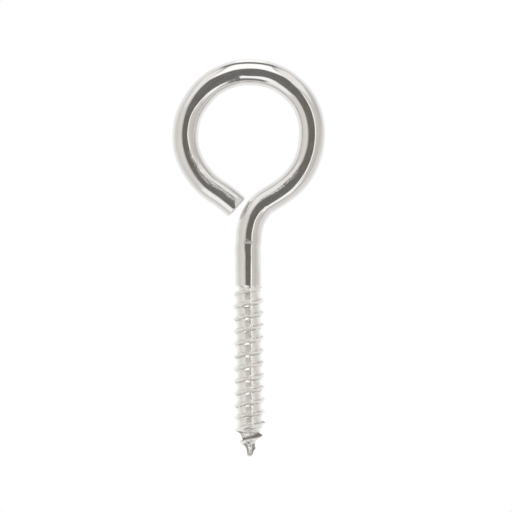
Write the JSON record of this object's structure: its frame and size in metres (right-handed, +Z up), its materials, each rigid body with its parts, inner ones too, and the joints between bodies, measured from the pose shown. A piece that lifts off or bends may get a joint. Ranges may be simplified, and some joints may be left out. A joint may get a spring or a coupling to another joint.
{
  "type": "screw eye",
  "caption": "Open screw eye bent from round steel wire, with a plain shank and a right-hand lag thread ending in a gimlet point, for hanging loads from timber.",
  "frame": {"origin": "middle of the small flat on the blunt tip, on the screw axis", "axes": "+Z up the screw axis from the tip to the eye; the eye lies in the XZ plane; the wire's free end is on the -X side; +Y is square to the eye's plane"},
  "size_m": [0.0392, 0.008, 0.1016],
  "materials": {
    "polished_steel": "bright nickel-plated or polished steel wire with fine drawing lines, duller in the rolled thread"
  },
  "bodies": {
    "root": {"screw_eye": "polished_steel"}
  },
  "joints": []
}
